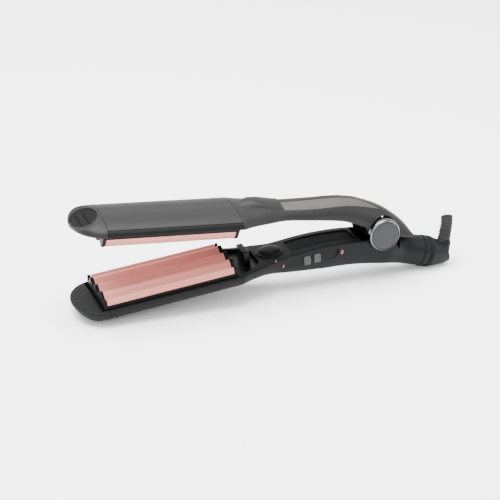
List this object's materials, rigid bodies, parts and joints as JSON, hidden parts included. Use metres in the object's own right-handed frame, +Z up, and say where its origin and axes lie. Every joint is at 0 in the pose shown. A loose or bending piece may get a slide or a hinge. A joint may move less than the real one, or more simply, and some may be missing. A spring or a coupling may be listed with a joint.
{
  "type": "hair crimper",
  "caption": "Open hair crimper: hinged arms with corrugated heating plates, a temperature dial, a sliding side switch and a swivelling cable entry.",
  "frame": {"origin": "middle of the bounding box's underside, on the surface that the lower arm lies on", "axes": "+X along the arms towards the cable entry, +Z up, +Y across, away from the side with the switch; lying on the lower arm's tip and tail with the upper arm sprung open"},
  "size_m": [0.288, 0.0518, 0.0742],
  "materials": {
    "charcoal_plastic": "satin moulded plastic, dark grey",
    "black_plastic": "heat-resistant moulded plastic, black",
    "gloss_black": "polished moulded plastic, near black",
    "soft_black": "soft rubber, matt",
    "plate_coating": "satin ceramic-coated aluminium, dusty pink",
    "silver_grey": "satin lacquered metal, mid grey",
    "light_grip": "moulded plastic, light grey",
    "chrome": "polished",
    "steel": "plain machined and pressed steel",
    "ceramic": null,
    "circuit_board": "glass-fibre board, green",
    "lens": "clear moulded plastic",
    "grip_inlay": "matt inlay, warm grey"
  },
  "bodies": {
    "lower_arm": {"lower_tip_cap": "charcoal_plastic", "lower_tip_pad": "soft_black", "lower_barrel_cover": "charcoal_plastic", "lower_barrel_frame": "black_plastic", "lower_crimp_plate": "plate_coating", "lower_plate_cap_front": "black_plastic", "lower_plate_cap_rear": "black_plastic", "lower_plate_carrier": "black_plastic", "lower_heater": "ceramic", "lower_heater_clamp": "steel", "lower_thermal_fuse": "steel", "lower_handle_panel": "soft_black", "lower_handle_shell": "charcoal_plastic", "lower_neck_cover": "gloss_black", "dial_bezel": "black_plastic", "dial_potentiometer": "steel", "slide_switch": "steel", "indicator_lens": "lens", "control_board": "circuit_board", "hinge_pin": "steel", "hinge_disc_near": "silver_grey", "hinge_disc_far": "silver_grey", "hinge_ring_near": "chrome", "hinge_ring_far": "chrome", "hinge_spring": "steel", "tail_collar": "charcoal_plastic", "tail_band": "soft_black"},
    "upper_arm": {"upper_tip_cap": "charcoal_plastic", "upper_tip_pad": "soft_black", "upper_barrel_cover": "charcoal_plastic", "upper_barrel_frame": "black_plastic", "upper_crimp_plate": "plate_coating", "upper_plate_cap_front": "black_plastic", "upper_plate_cap_rear": "black_plastic", "upper_plate_carrier": "black_plastic", "upper_heater": "ceramic", "upper_heater_clamp": "steel", "upper_thermal_fuse": "steel", "upper_handle_panel": "soft_black", "upper_handle_shell": "charcoal_plastic", "upper_neck_cover": "gloss_black", "grip_inlay": "grip_inlay"},
    "dial": {"dial_knob": "charcoal_plastic"},
    "switch": {"switch_slider": "black_plastic", "switch_grip_front": "light_grip", "switch_grip_rear": "light_grip"},
    "swivel": {"swivel_cap": "charcoal_plastic", "strain_relief": "soft_black"}
  },
  "joints": [
    {"name": "arm_hinge", "type": "hinge", "parent": "lower_arm", "child": "upper_arm", "pos_m": [0.07877, 0, 0.03613], "axis": [0, -1, 0], "range_deg": [0, 10.8], "stiffness_Nm_per_rad": 0.5, "springref_deg": -34.38},
    {"name": "dial_turn", "type": "hinge", "parent": "lower_arm", "child": "dial", "pos_m": [-0.00191, 0, 0.02948], "axis": [-0.1171, 0, 0.9931], "range_deg": [-135, 135]},
    {"name": "switch_slide", "type": "slide", "parent": "lower_arm", "child": "switch", "axis": [0.9931, 0, 0.1171], "range_m": [0, 0.0095]},
    {"name": "cord_swivel", "type": "hinge", "parent": "lower_arm", "child": "swivel", "pos_m": [0.11415, 0, 0.01287], "axis": [0.9691, 0, -0.2466], "continuous": true}
  ]
}
